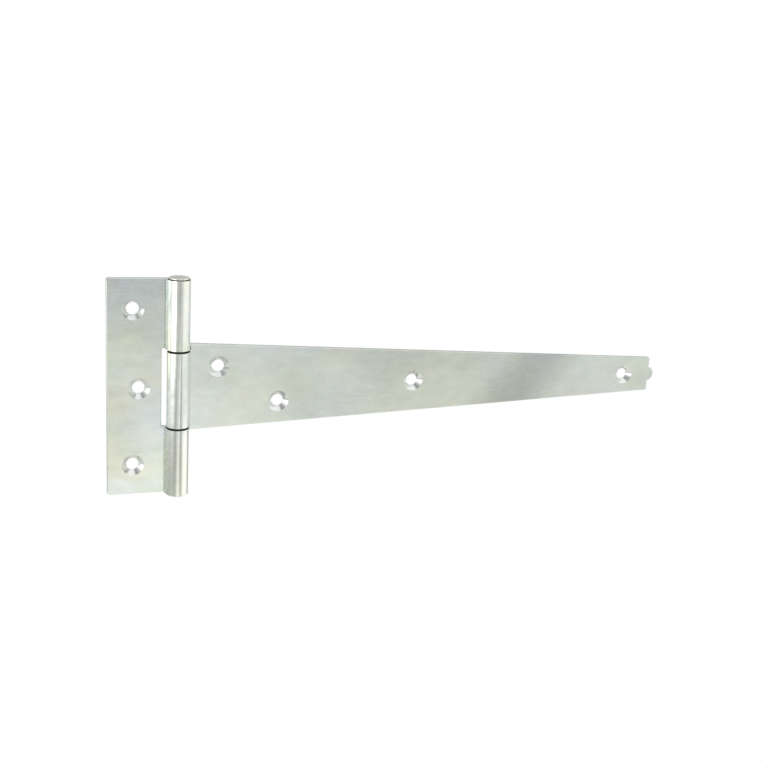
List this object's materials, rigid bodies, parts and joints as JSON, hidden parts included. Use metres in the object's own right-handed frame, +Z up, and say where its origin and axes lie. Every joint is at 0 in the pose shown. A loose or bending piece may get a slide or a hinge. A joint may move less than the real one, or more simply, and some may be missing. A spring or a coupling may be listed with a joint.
{
  "type": "t hinge",
  "caption": "Tee hinge: upright cross flap and long tapered strap pressed from bright zinc-plated steel, rolled into a barrel on a headed pin, with countersunk screw holes.",
  "frame": {"origin": "in the plane of both leaves' backs, directly behind the middle of the pin", "axes": "+Z up the pin towards its head, +X along the strap towards its tip, +Y out of the back towards the door and the post, so the barrel stands proud towards -Y"},
  "size_m": [0.281, 0.0101, 0.1021],
  "materials": {
    "zinc_sheet": "bright zinc plate with a clear passivate, faint green, blue and yellow tints",
    "zinc_pin": "bright zinc plate"
  },
  "bodies": {
    "flap": {"cross_flap": "zinc_sheet", "pin": "zinc_pin"},
    "strap": {"strap": "zinc_sheet"}
  },
  "joints": [
    {"name": "strap_swing", "type": "hinge", "parent": "flap", "child": "strap", "pos_m": [0, -0.00505, 0], "axis": [0, 0, 1], "range_deg": [-188, 95]}
  ]
}
